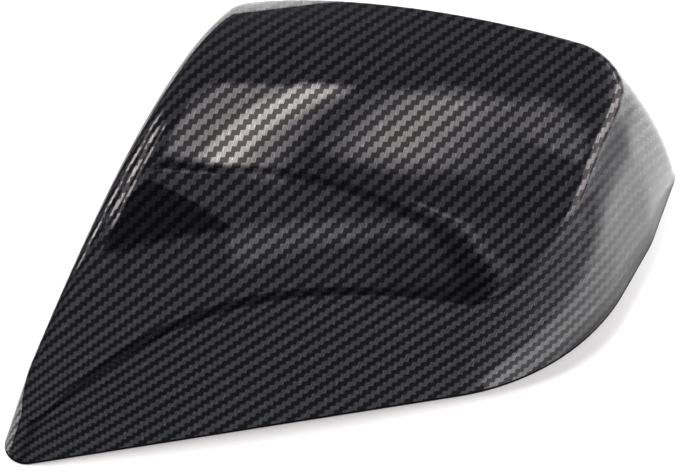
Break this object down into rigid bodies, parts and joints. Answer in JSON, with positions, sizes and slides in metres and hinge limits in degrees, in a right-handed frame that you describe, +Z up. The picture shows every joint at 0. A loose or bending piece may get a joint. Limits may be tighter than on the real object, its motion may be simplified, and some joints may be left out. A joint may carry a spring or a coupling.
{
  "type": "wing mirror cover",
  "caption": "Hollow moulded cover for a car's wing mirror, with a pointed inboard tip, a domed crown, leaning side walls and snap lugs inside its rim.",
  "frame": {"origin": "middle of the cover's box, on the plane of its rim", "axes": "+X from the inboard tip to the outboard end, +Y from the lower edge to the far edge, +Z up from the rim to the crown"},
  "size_m": [0.2462, 0.1648, 0.0844],
  "materials": {
    "carbon_gloss": "twill weave print under high-gloss clear coat"
  },
  "bodies": {
    "root": {"cover": "carbon_gloss"}
  },
  "joints": []
}
